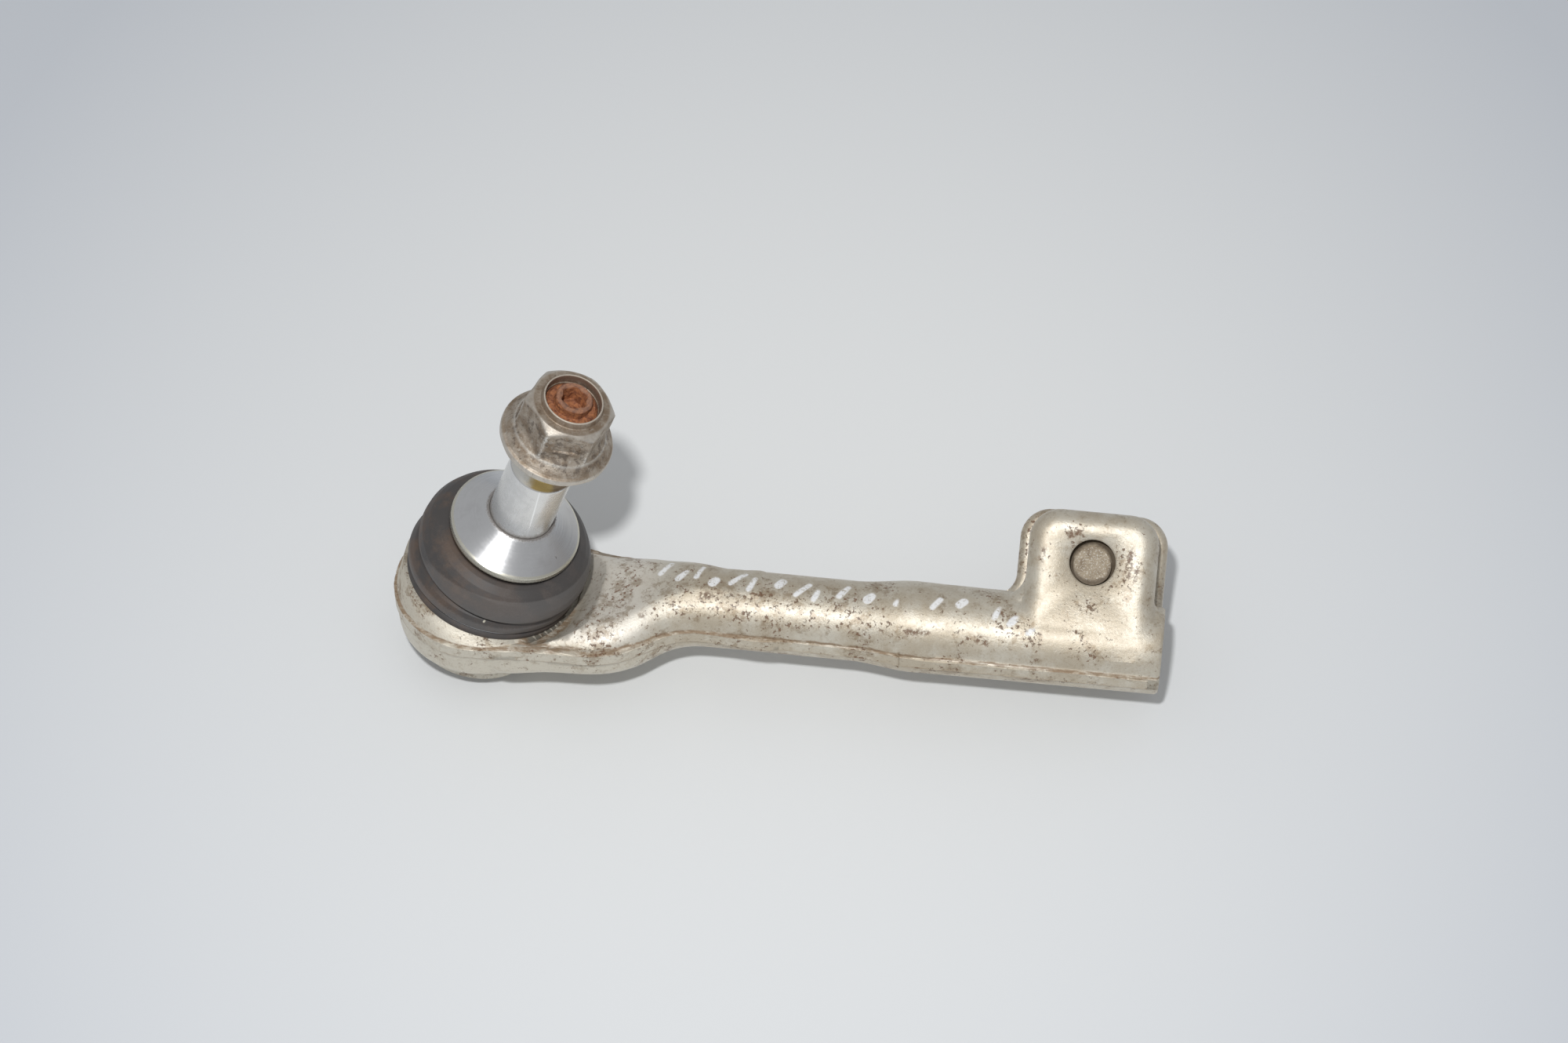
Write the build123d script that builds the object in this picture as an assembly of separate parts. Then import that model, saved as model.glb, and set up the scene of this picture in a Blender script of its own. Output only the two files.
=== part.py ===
from build123d import *

from math import cos, pi, radians, sin, tan
import os

# Tie rod end with a ball joint at one end and a split clamp tube at the other.
#
# All dimensions are millimetres.  The part is first drawn in the forging frame: ball
# centre at the origin, bore axis along +X, parting plane of the forging at z = 0.
# At the end every piece is rolled about the bore axis into the lying position and moved
# so that the start of the bore's full thread, just inside the mouth, is the origin.

# Main layout
reach = 179.5                 # ball centre to the mouth of the clamp tube
lie_roll = -8.0               # roll about the bore axis into the lying position, degrees
housing_lean = 15.0           # ball housing axis leans towards the tube, degrees
stud_lean_x = 18.3            # stud as photographed, lean towards the tube, degrees
stud_lean_y = -4.9            # stud as photographed, lean sideways, degrees

# Ball joint
ball_r = 13.0
ball_play = 0.03
shell_r = 16.0
shell_bottom = -14.2
shell_top = 7.0
cavity_r = 16.03
opening_r = 11.5
cover_t = 2.0
cover_r = 15.95

# Ball housing, measured along its leaning axis
pot_r = 23.6
pot_seat = 5.0
pot_floor = -12.8
pot_draft = 4.5                # draft of the lower half, degrees
pot_round = 3.5
boss_top = 8.3
boss_r = 19.4
crimp_r = 18.2
crimp_end = -17.3
seat_recess_r = 24.2

# Web and shank, one tapering bar.  Each station gives x, then the front, back, top and
# bottom of a rounded box, then the radii of its corners: front top, front bottom, back
# bottom, back top.  Along the shank the box has turned into a circle.
web_stations = [
    (4.0, -21.8, 20.0, 3.8, -11.4, 7.8, 5.0, 4.5, 5.5),
    (13.0, -22.8, 17.6, 4.2, -10.8, 8.0, 5.0, 4.5, 6.3),
    (22.0, -22.4, 15.6, 4.7, -9.9, 8.2, 5.2, 4.8, 7.0),
    (31.0, -22.3, 13.7, 5.3, -9.5, 8.6, 5.4, 5.0, 7.4),
    (38.0, -20.3, 13.0, 6.4, -9.8, 9.3, 5.6, 5.8, 7.6),
    (44.0, -16.6, 12.4, 8.0, -10.3, 10.0, 6.4, 7.2, 8.2),
    (50.0, -12.6, 11.6, 9.5, -10.3, 10.4, 8.4, 8.8, 9.2),
    (56.0, -10.8, 11.3, 10.6, -10.4, 10.5, 9.8, 9.8, 10.2),
    (62.0, -10.6, 10.6, 10.6, -10.6, 10.6, 10.5, 10.5, 10.5),
    (68.0, -10.5, 10.5, 10.5, -10.5, 10.5, 10.5, 10.5, 10.5),
    (74.0, -10.5, 10.5, 10.5, -10.5, 10.5, 10.5, 10.5, 10.5),
]

# Shank and clamp tube
shank_r = 10.5
shank_start = 73.0
tube_start = 103.0
tube_step = 10.0
tube_root_r = 9.0
tube_r_start = 12.0
tube_r_end = 11.6
bore_r = 8.0
bore_depth = 64.0
bore_chamfer = 0.9

# Trimmed flash land along the parting plane
land_top = 1.3
land_bottom = -2.2
land_proud = 0.25

# Lug, in its own rolled frame: u away from the bore, n towards the pad
lug_roll = 42.0
lug_x = 159.3
ear_upper_half = 17.0
ear_lower_half = 19.5
ear_reach = 34.5
ear_corner = 8.0
pad_n = 11.0
ear_lower_n = -10.5
ear_round = 4.8
skirt_n = 7.6
slot_half = 1.5
slot_end = 138.0
hole_u = 21.2
hole_r = 6.03
hole_chamfer = 0.45

# Pinch bolt M12
bolt_r = 6.0
bolt_full_n = 5.4
bolt_tip_n = 8.2
bolt_tip_r = 4.95
bolt_tip_off = 0.9            # the worn end sits off centre, towards the tube
bolt_head_af = 18.0
bolt_head_t = 8.0
bolt_flange_r = 10.8

# Ball stud, measured along its own axis
neck_r = 7.2
seat_r = 8.5
seat_start = 20.5
seat_end = 56.0
undercut_r = 6.3
thread_start = 63.0
thread_r = 7.0
thread_end = 83.2
dog_r = 4.7
tip = 86.2
socket_r = 3.6
socket_depth = 5.0

# Conical collar
collar_r = 17.3
collar_edge = 29.5
collar_lip = 2.25
collar_top = 35.1
hub_r = 11.8
hub_end = 20.6

# Hexagon flange nut M14
nut_base = 67.5
nut_rim_t = 2.6
nut_flange_r = 14.75
nut_cone_top = 74.2
nut_af = 21.0
nut_shoulder = 83.4
nut_top = 85.35
nut_ring_r = 8.0
nut_turn = 9.5               # hexagon turned as photographed, degrees

# Rubber boot and its two wire rings
bead_r = 23.5
boot_r = 22.8
wall_r = 20.5
boot_t = 2.0
lower_ring_at = 7.6
lower_ring_r = 21.6
lower_wire_r = 0.6
upper_ring_at = 22.8
upper_ring_r = 13.55
upper_wire_r = 0.65


def outline(*pieces):
    """Closed half outline in radius and height: two points make a line, three an arc."""
    edges = []
    for piece in pieces:
        spots = [(r, 0, h) for r, h in piece]
        edges.append(ThreePointArc(*spots) if len(spots) == 3 else Line(*spots))
    return Face(Wire(edges))


def corners(*points):
    """Closed half outline with straight sides."""
    loop = list(points) + [points[0]]
    return outline(*[(loop[k], loop[k + 1]) for k in range(len(points))])


def turned(face, frame):
    """Body of revolution about the frame's own Z."""
    return frame * revolve(face, Axis.Z)


def rod(radius, low, high, frame):
    """Cylinder along the frame's Z between two heights."""
    return frame * Pos(0, 0, low) * Cylinder(
        radius, high - low, align=(Align.CENTER, Align.CENTER, Align.MIN))


origin = Location((0, 0, 0))
housing_frame = Location((0, 0, 0), (0, housing_lean, 0))
stud_dir = Vector(tan(radians(stud_lean_x)), tan(radians(stud_lean_y)), 1.0).normalized()
stud_frame = Plane(origin=(0, 0, 0), x_dir=(1, 0, 0), z_dir=stud_dir).location
lug_frame = Location((0, 0, 0), (lug_roll, 0, 0))


# Ball housing: leaning above the parting plane, drafted below it, with a level underside
pot = rod(pot_r, -20, pot_seat, housing_frame)
pot = pot & (Box(120, 120, 60, align=(Align.CENTER, Align.CENTER, Align.MIN)))
pot_low_r = pot_r + pot_floor * tan(radians(pot_draft))
pot_base = turned(outline(
    [(0, 0.4), (pot_r - 0.1, 0.4)],
    [(pot_r - 0.1, 0.4), (pot_low_r + 0.27, pot_floor + pot_round)],
    [(pot_low_r + 0.27, pot_floor + pot_round),
     (pot_low_r + 0.1 - 0.3 * pot_round, pot_floor + 0.3 * pot_round),
     (pot_low_r - pot_round, pot_floor)],
    [(pot_low_r - pot_round, pot_floor), (0, pot_floor)],
    [(0, pot_floor), (0, 0.4)],
), Location((pot_r - 0.3 - pot_r / cos(radians(housing_lean)), 0.3, 0)))
pot += pot_base


def web_section(x, front, back, top, bottom, r_ft, r_fb, r_bb, r_bt):
    """Rounded box across the web, drawn as four smooth quarters that meet mid-side."""
    mid_front = (top - r_ft + bottom + r_fb) / 2
    mid_back = (top - r_bt + bottom + r_bb) / 2
    mid_top = (front + r_ft + back - r_bt) / 2
    mid_bottom = (front + r_fb + back - r_bb) / 2
    quarters = [
        ((front, mid_front), (front + r_ft, top - r_ft), r_ft, 180, (mid_top, top)),
        ((mid_top, top), (back - r_bt, top - r_bt), r_bt, 90, (back, mid_back)),
        ((back, mid_back), (back - r_bb, bottom + r_bb), r_bb, 0, (mid_bottom, bottom)),
        ((mid_bottom, bottom), (front + r_fb, bottom + r_fb), r_fb, -90, (front, mid_front)),
    ]
    edges = []
    for (y0, z0), (yc, zc), r, start, (y1, z1) in quarters:
        points = [(x, y0, z0)]
        for step in (22.5, 45.0, 67.5):
            a = radians(start - step)
            points.append((x, yc + r * cos(a), zc + r * sin(a)))
        points.append((x, y1, z1))
        leave, arrive = radians(start - 90), radians(start - 180)
        edges.append(Spline(*points, tangents=[
            (0, cos(leave), sin(leave)), (0, cos(arrive), sin(arrive))]))
    return Face(Wire(edges))


bar = loft([web_section(*station) for station in web_stations])
bar += Pos(shank_start, 0, 0) * Rot(0, 90, 0) * Cylinder(
    shank_r - 0.05, tube_start + 5 - shank_start, align=(Align.CENTER, Align.CENTER, Align.MIN))

tube_outline = Polyline(
    (tube_start, 0, 0),
    (tube_start, 0, tube_root_r),
    (tube_start + tube_step, 0, tube_r_start),
    (reach - 0.8, 0, tube_r_end),
    (reach, 0, tube_r_end - 0.6),
    (reach, 0, 0),
    close=True,
)
tube = revolve(Face(tube_outline.wire()), Axis.X)


def ear(half, n_low, n_high, flare_left, flare_right):
    """One ear: rounded outer corners, flared where it runs into the tube."""
    left, right, root = lug_x - half, lug_x + half, 10.6
    top, c = ear_reach, ear_corner
    k = c * (1 - 0.7071)
    fl, fr = flare_left, flare_right
    pieces = [
        Line((left - fl, -4), (left - fl, root)),
        ThreePointArc((left - fl, root), (left - 0.29 * fl, root + 0.29 * fl), (left, root + fl)),
        Line((left, root + fl), (left, top - c)),
        ThreePointArc((left, top - c), (left + k, top - k), (left + c, top)),
        Line((left + c, top), (right - c, top)),
        ThreePointArc((right - c, top), (right - k, top - k), (right, top - c)),
        Line((right, top - c), (right, root + fr)),
        ThreePointArc((right, root + fr), (right + 0.29 * fr, root + 0.29 * fr), (right + fr, root)),
        Line((right + fr, root), (right + fr, -4)),
        Line((right + fr, -4), (left - fl, -4)),
    ]
    return Pos(0, 0, n_low) * extrude(Face(Wire(pieces)), n_high - n_low, dir=(0, 0, 1))


def rim(ear_solid, side):
    """Edges round the ear's top or bottom face, without the one inside the tube."""
    return ear_solid.faces().sort_by(Axis.Z)[side].edges().sort_by(Axis.Y)[1:]


upper_ear = ear(ear_upper_half, 0, pad_n, 0.4, 0.4)
upper_ear = fillet(rim(upper_ear, -1), ear_round)
skirt = ear(ear_upper_half, 0, skirt_n, 6.5, 2.6)
skirt = fillet(rim(skirt, -1), 4.6)
lower_ear = ear(ear_lower_half, ear_lower_n, -slot_half, 6.0, 0.6)
lower_ear = fillet(rim(lower_ear, 0), 3.2)
lower_ear = fillet(rim(lower_ear, -1), 2.2)
lug = lug_frame * (upper_ear + skirt + lower_ear)
plug = ear(ear_lower_half, -slot_half, 0, 6.0, 0.6)
lug += lug_frame * (plug & Pos(slot_end, 0, 0) * Box(0.4, 90, 9, align=(Align.MAX, Align.CENTER, Align.CENTER)))

# Trimmed flash land, a low upright band that runs along the parting plane
p = land_proud
front_rim = [(station[0], station[1] - p) for station in web_stations[1:-2]]
back_rim = [(station[0], station[2] + p) for station in web_stations[1:-2]]
nose = []
for k in range(1, 8):
    a = radians(90 + 22.5 * k)
    nose.append(((pot_r / cos(radians(housing_lean)) - 0.2) * cos(a), (pot_r + 0.6) * sin(a)))
tube_rim = [
    (108, shank_r + p),
    (tube_start + tube_step, tube_r_start + p),
    (reach - 0.6, tube_r_end + p),
]
land_edges = [
    Spline((80, shank_r + p), *reversed(back_rim), *nose, *front_rim, (80, -shank_r - p)),
    Polyline((80, -shank_r - p), *[(x, -y) for x, y in tube_rim]),
    Line((reach - 0.6, -tube_r_end - p), (reach - 0.6, tube_r_end + p)),
    Polyline(*reversed(tube_rim), (80, shank_r + p)),
]
land_face = Face(Wire([e for part in land_edges for e in part.edges()]))
land = Pos(0, 0, land_bottom) * extrude(land_face, land_top - land_bottom, dir=(0, 0, 1))

body = pot + bar + tube + lug + land
body -= rod(seat_recess_r, pot_seat, 45, housing_frame)
body += rod(crimp_r, crimp_end, 0, housing_frame)
body += rod(boss_r, 0, boss_top, housing_frame)

# Cavity for the ball and its cup, open below for the cover and above for the stud
body -= turned(corners(
    (0, crimp_end - 1),
    (14.3, crimp_end - 1),
    (14.3, shell_bottom - 0.08 - cover_t),
    (cavity_r, shell_bottom - 0.08 - cover_t),
    (cavity_r, 3.25),
    (12.9, shell_top),
    (opening_r, shell_top),
    (opening_r + 1.4, boss_top + 0.1),
    (0, boss_top + 0.1),
), housing_frame)

# Bore, slot and bolt hole
body -= Pos(reach - bore_depth, 0, 0) * Rot(0, 90, 0) * Cylinder(
    bore_r, bore_depth + 1, align=(Align.CENTER, Align.CENTER, Align.MIN))
body -= Pos(reach - bore_chamfer, 0, 0) * Rot(0, 90, 0) * Cone(
    bore_r, bore_r + bore_chamfer + 0.5, bore_chamfer + 0.5, align=(Align.CENTER, Align.CENTER, Align.MIN))
body -= lug_frame * Pos(slot_end, 0, -slot_half) * Box(
    60, 60, 2 * slot_half, align=(Align.MIN, Align.MIN, Align.MIN))
hole_frame = lug_frame * Pos(lug_x, hole_u, 0)
body -= rod(hole_r, -20, 20, hole_frame)
body -= hole_frame * Pos(0, 0, pad_n - hole_chamfer) * Cone(
    hole_r, hole_r + 2 * hole_chamfer, 2 * hole_chamfer, align=(Align.CENTER, Align.CENTER, Align.MIN))
housing = body

# Pinch bolt: head under the lower ear, end short of the pad
hex_bolt = Pos(0, 0, ear_lower_n - bolt_head_t) * extrude(
    RegularPolygon(bolt_head_af / 2, 6, major_radius=False), bolt_head_t)
head_low = ear_lower_n - bolt_head_t
hex_bolt = hex_bolt & turned(corners(
    (0, head_low),
    (bolt_head_af / 2 - 0.3, head_low),
    (bolt_head_af / 2 + 1.6, head_low + 1.1),
    (bolt_head_af / 2 + 1.6, ear_lower_n),
    (0, ear_lower_n),
), origin)
clamp_bolt = hole_frame * (
    hex_bolt
    + turned(corners(
        (0, ear_lower_n - 3.2),
        (bolt_head_af / 2 - 0.5, ear_lower_n - 3.2),
        (bolt_flange_r, ear_lower_n - 1.5),
        (bolt_flange_r, ear_lower_n - 0.02),
        (bolt_r, ear_lower_n - 0.02),
        (bolt_r, bolt_full_n),
        (bolt_r - 1.0, bolt_full_n + 0.6),
        (0, bolt_full_n + 0.6),
    ), origin)
    + Pos(0, -bolt_tip_off, 0) * rod(bolt_tip_r, bolt_full_n, bolt_tip_n, origin)
)

# Cup and cover inside the housing
bearing_shell = turned(corners(
    (0, shell_bottom),
    (shell_r, shell_bottom),
    (shell_r, 3.2),
    (12.84, shell_top - 0.05),
    (0, shell_top - 0.05),
), housing_frame)
bearing_shell -= Sphere(ball_r + ball_play)
bearing_shell -= rod(4.5, shell_bottom - 1, 0, housing_frame)
cover_plate = turned(outline(
    [(0, shell_bottom - 0.04), (cover_r, shell_bottom - 0.04)],
    [(cover_r, shell_bottom - 0.04), (cover_r, shell_bottom - 0.04 - cover_t)],
    [(cover_r, shell_bottom - 0.04 - cover_t), (13.6, shell_bottom - 0.04 - cover_t)],
    [(13.6, shell_bottom - 0.04 - cover_t), (11.5, shell_bottom - 1.4)],
    [(11.5, shell_bottom - 1.4), (0, shell_bottom - 1.4)],
    [(0, shell_bottom - 1.4), (0, shell_bottom - 0.04)],
), housing_frame)

# Ball stud
stud_outline = corners(
    (0, 6.0),
    (neck_r, 6.0),
    (neck_r, 17.5),
    (seat_r, seat_start),
    (seat_r, seat_end - 0.3),
    (seat_r - 0.9, seat_end + 0.5),
    (undercut_r + 0.7, seat_end + 2.0),
    (undercut_r, seat_end + 4.0),
    (undercut_r, thread_start - 1.0),
    (thread_r, thread_start + 0.4),
    (thread_r, thread_end - 0.8),
    (thread_r - 0.8, thread_end),
    (dog_r, thread_end),
    (dog_r, tip - 0.5),
    (dog_r - 0.5, tip),
    (0, tip),
)
ball = Sphere(ball_r) & (Pos(0, 0, -11.8) * Box(60, 60, 60, align=(Align.CENTER, Align.CENTER, Align.MIN)))
stud = ball + turned(stud_outline, origin)
stud -= rod(socket_r - 0.75, tip - socket_depth, tip + 1, origin)
for k in range(6):
    stud -= Rot(0, 0, 60 * k) * Pos(socket_r - 0.8, 0, tip - socket_depth) * Cylinder(
        0.8, socket_depth + 1, align=(Align.CENTER, Align.CENTER, Align.MIN))
ball_stud = stud_frame * stud

# Conical collar with a thin upright lip
stud_collar = turned(corners(
    (seat_r + 0.02, hub_end),
    (hub_r, hub_end),
    (hub_r, 26.4),
    (16.3, 26.9),
    (16.5, collar_edge - collar_lip),
    (collar_r - 0.15, collar_edge - collar_lip),
    (collar_r, collar_edge - collar_lip + 0.15),
    (collar_r, collar_edge - 0.2),
    (collar_r - 0.3, collar_edge),
    (seat_r + 0.45, collar_top),
    (seat_r + 0.02, collar_top - 0.25),
), stud_frame)

# Flange nut
nut_flat = nut_af / 2
nut_hex = Pos(0, 0, nut_base + 1) * extrude(
    RegularPolygon(nut_flat, 6, major_radius=False), nut_shoulder - nut_base - 1)
nut_hex = nut_hex & turned(corners(
    (0, nut_base + 1),
    (14.0, nut_base + 1),
    (14.0, nut_shoulder - 3.9),
    (nut_flat - 0.4, nut_shoulder),
    (0, nut_shoulder),
), origin)
nut = nut_hex + turned(corners(
    (0, nut_base),
    (nut_flange_r - 0.7, nut_base),
    (nut_flange_r, nut_base + 0.6),
    (nut_flange_r, nut_base + nut_rim_t - 0.5),
    (nut_flange_r - 0.6, nut_base + nut_rim_t),
    (nut_flat, nut_cone_top),
    (0, nut_cone_top),
), origin)
nut += turned(corners(
    (0, nut_shoulder - 0.5),
    (nut_ring_r + 0.5, nut_shoulder - 0.5),
    (nut_ring_r, nut_top - 0.4),
    (nut_ring_r - 0.3, nut_top),
    (0, nut_top),
), origin)
nut -= rod(thread_r + 0.03, nut_base - 1, nut_top + 1, origin)
nut -= rod(thread_r + 0.25, thread_end - 0.6, nut_top + 1, origin)
nut -= Pos(0, -nut_flat, (nut_cone_top + nut_shoulder) / 2 + 0.2) * Box(7.0, 0.5, 5.2)
flange_nut = stud_frame * Rot(0, 0, nut_turn) * nut

# Boot: lower part follows the housing, upper part follows the stud
boot_outer = turned(corners(
    (0, pot_seat + 0.05),
    (22.4, pot_seat + 0.05),
    (bead_r, 5.7),
    (bead_r, 6.5),
    (22.3, 7.3),
    (21.3, 7.3),
    (21.3, 7.9),
    (22.4, 7.9),
    (boot_r + 0.5, 9.2),
    (boot_r + 0.5, 11.0),
    (22.2, 13.2),
    (wall_r, 14.7),
    (wall_r, 17.0),
    (0, 17.0),
), housing_frame)
boot_outer += turned(corners(
    (0, 12.6),
    (wall_r, 12.6),
    (wall_r, 14.4),
    (22.1, 15.5),
    (boot_r, 17.2),
    (boot_r, 19.6),
    (21.9, 22.2),
    (20.3, 24.4),
    (18.4, 25.8),
    (17.0, 26.2),
    (16.1, 25.6),
    (15.2, 21.9),
    (12.85, 21.9),
    (12.85, 25.6),
    (0, 25.6),
), stud_frame)
boot_inner = turned(corners(
    (0, 0),
    (boss_r + 0.05, 0),
    (boss_r + 0.05, 8.8),
    (21.0, 10.1),
    (20.6, 12.2),
    (18.6, 14.2),
    (18.5, 17.3),
    (0, 17.3),
), housing_frame)
boot_inner += turned(corners(
    (0, 12.2),
    (18.5, 12.2),
    (18.6, 14.9),
    (20.8, 17.4),
    (20.8, 19.4),
    (19.0, 23.0),
    (17.7, 24.1),
    (16.4, 20.3),
    (hub_r + 0.04, 20.3),
    (hub_r + 0.04, 30),
    (0, 30),
), stud_frame)


def wire_ring(radius, wire, height, frame):
    """Wire ring with an eight sided section."""
    points = []
    for k in range(8):
        a = 2 * pi * (k + 0.5) / 8
        points.append((radius + wire * cos(a), height + wire * sin(a)))
    return turned(corners(*points), frame)


boot_ring_lower = wire_ring(lower_ring_r, lower_wire_r, lower_ring_at, housing_frame)
boot_ring_upper = wire_ring(upper_ring_r, upper_wire_r, upper_ring_at, stud_frame)
dust_boot = boot_outer - boot_inner
dust_boot -= wire_ring(lower_ring_r, lower_wire_r + 0.04, lower_ring_at, housing_frame)

# Lying position and shared origin, then one file per piece
final = Rot(lie_roll, 0, 0) * Pos(bore_chamfer - reach, 0, 0)
pieces = {
    "housing": housing,
    "bearing_shell": bearing_shell,
    "cover_plate": cover_plate,
    "boot_ring_lower": boot_ring_lower,
    "clamp_bolt": clamp_bolt,
    "dust_boot": dust_boot,
    "boot_ring_upper": boot_ring_upper,
    "ball_stud": ball_stud,
    "stud_collar": stud_collar,
    "flange_nut": flange_nut,
}
os.makedirs("parts", exist_ok=True)
for name, piece in pieces.items():
    placed = final * piece
    assert len(placed.solids()) == 1, name
    export_step(placed, "parts/" + name + ".step")
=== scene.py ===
"""Looks of a used tie rod end: forged housing and clamp tube, ball stud with nut, rubber boot.

Sizes inside the shape functions are millimetres, as on a drawing; every mesh is written in metres.
"""

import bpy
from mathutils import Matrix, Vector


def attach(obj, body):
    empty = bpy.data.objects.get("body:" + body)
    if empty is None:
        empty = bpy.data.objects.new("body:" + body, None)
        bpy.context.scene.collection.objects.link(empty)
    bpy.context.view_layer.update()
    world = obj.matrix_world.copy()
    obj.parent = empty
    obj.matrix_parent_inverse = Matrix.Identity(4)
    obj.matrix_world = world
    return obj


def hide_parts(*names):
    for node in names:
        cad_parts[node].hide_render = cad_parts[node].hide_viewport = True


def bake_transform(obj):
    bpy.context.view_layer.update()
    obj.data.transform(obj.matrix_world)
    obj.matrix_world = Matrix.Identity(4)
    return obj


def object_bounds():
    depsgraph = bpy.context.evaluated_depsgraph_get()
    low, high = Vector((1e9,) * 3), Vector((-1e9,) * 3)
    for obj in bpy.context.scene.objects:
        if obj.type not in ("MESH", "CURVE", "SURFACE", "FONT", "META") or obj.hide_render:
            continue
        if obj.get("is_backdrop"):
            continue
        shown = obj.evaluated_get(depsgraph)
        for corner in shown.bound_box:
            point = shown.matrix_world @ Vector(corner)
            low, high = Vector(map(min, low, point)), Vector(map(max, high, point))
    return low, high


bl_info = {
    "name": "Tie Rod End",
    "version": (1, 0, 0),
    "blender": (4, 5, 0),
    "location": "View3D > Sidebar > Tie Rod",
    "description": "Builds the visible pieces and finishes of a used tie rod end",
    "category": "Object",
}

import bmesh
import bpy
import numpy as np
from mathutils import Matrix

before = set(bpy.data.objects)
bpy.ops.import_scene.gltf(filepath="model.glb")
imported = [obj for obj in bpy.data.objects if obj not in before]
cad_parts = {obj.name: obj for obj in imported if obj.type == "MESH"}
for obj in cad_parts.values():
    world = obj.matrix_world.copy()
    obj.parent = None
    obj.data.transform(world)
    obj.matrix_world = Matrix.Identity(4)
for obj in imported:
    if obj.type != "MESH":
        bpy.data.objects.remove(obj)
cad_box = [list(corner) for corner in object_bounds()]

MM = 0.001
TURN = 2 * np.pi

# Shared drawing values, millimetres and degrees
REACH = 178.6            # ball centre to the start of the bore's thread
LIE_ROLL = -8.0          # roll of the whole part about the bore axis
HOUSING_LEAN = 15.0      # lean of the ball housing's axis towards the tube
STUD_LEAN = (18.3, -4.9)  # lean of the stud towards the tube and sideways
LUG_ROLL = 42.0          # how far the lug stands above the level, about the bore axis
BOLT_X = -19.3           # pinch bolt's axis, along the bore
BOLT_OUT = 21.2          # pinch bolt's axis, out from the bore
SLOT_HALF = 1.5          # half the width of the clamp's slot
SLOT_DEPTH = 40.6        # length of the slot from the bore's start
SHANK_R = 10.58
TUBE_R = 12.06           # where the tube is widest
THREAD_ROOT_R = 8.25     # root radius of the bore's thread
BALL_R = 13.0
NECK_R = 7.2
SEAT_R = 8.5             # ground seat of the stud
THREAD_R = 6.98          # outside of the stud's thread
FLAT_HALF = 10.5         # half the nut's width across its flats
FLANGE_R = 14.7

DIRT = (0.24, 0.155, 0.085)  # colour of the dirt along the trimmed flash

# Plan of the parting line, x and y from the ball's centre: web, then shank and tube
FRONT_LINE = (
    (13.0, -22.8), (22.0, -22.4), (31.0, -22.3), (38.0, -20.3), (44.0, -16.6), (50.0, -12.6),
    (56.0, -10.8), (62.0, -10.6), (66.0, -10.9), (70.0, -11.15), (74.0, -11.25), (77.0, -11.0),
    (80.0, -10.5), (90.0, -10.5),
)
BACK_LINE = (
    (90.0, 10.5), (80.0, 10.5), (74.0, 10.5), (68.0, 10.5), (62.0, 10.6), (56.0, 11.3),
    (50.0, 11.6), (44.0, 12.4), (38.0, 13.0), (31.0, 13.7), (22.0, 15.6), (18.5, 16.2),
)
TUBE_LINE = (
    (98.0, 10.5), (102.0, 10.7), (106.0, 11.25), (110.0, 11.78), (113.0, 12.0),
    (145.0, 11.82), (178.3, 11.58),
)


def unit(v):
    """The vector v at length 1."""
    v = np.asarray(v, float)
    return v / np.linalg.norm(v)


def axes_from(z, x=(1.0, 0.0, 0.0)):
    """Three unit rows x, y, z with z kept and x turned square to it."""
    z = unit(z)
    x = unit(np.asarray(x, float) - np.dot(x, z) * z)
    return np.stack([x, np.cross(z, x), z])


def about_x(degrees):
    """Matrix of a turn about the x axis."""
    a = np.radians(degrees)
    return np.array([[1, 0, 0], [0, np.cos(a), -np.sin(a)], [0, np.sin(a), np.cos(a)]])


class Place:
    """A drawing's own origin and axes inside the part: millimetres in, metres out."""

    def __init__(self, origin, rows):
        roll = about_x(LIE_ROLL)
        self.origin = roll @ np.asarray(origin, float)
        self.rows = rows @ roll.T

    def put(self, points):
        """Origin plus x, y and z times the three axes."""
        return (self.origin + points @ self.rows) * MM

    def inside(self, spot):
        """A point of the part, in millimetres, as this drawing measures it."""
        return tuple(self.rows @ (np.asarray(spot, float) - self.origin))

    def spot(self, *xyz):
        """One point of this drawing, in metres, as the part measures it."""
        return tuple(self.put(np.array([xyz], float))[0])

    def turn(self):
        """The axes as the Euler angles that a Mapping node wants."""
        return tuple(Matrix(self.rows.T.tolist()).to_euler("XYZ"))


leans = np.tan(np.radians([HOUSING_LEAN, *STUD_LEAN]))
BALL = (-REACH, 0.0, 0.0)
FORGING = Place(BALL, np.eye(3))
HOUSING = Place(BALL, axes_from((leans[0], 0, 1)))
STUD = Place(BALL, axes_from((leans[1], leans[2], 1)))
BORE = Place((0, 0, 0), np.roll(np.eye(3), -1, 0))
BOLT = Place(about_x(LUG_ROLL) @ np.array([BOLT_X, BOLT_OUT, 0]), about_x(LUG_ROLL).T)


def smooth_step(x, low, high):
    """0 below low, 1 above high, and an S curve between."""
    t = np.clip((x - low) / (high - low), 0, 1)
    return t * t * (3 - 2 * t)


def soft_min(a, b, k):
    """The smaller of a and b, with the corner between them rounded over k."""
    h = np.clip(0.5 + 0.5 * (b - a) / k, 0, 1)
    return b + (a - b) * h - k * h * (1 - h)


def soft_max(a, b, k):
    """The larger of a and b, with the corner between them filled over k."""
    return -soft_min(-a, -b, k)


def run_along(line):
    """Distance from a line's start to each of its points."""
    return np.r_[0, np.cumsum(np.linalg.norm(np.diff(line, axis=0), axis=1))]


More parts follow.
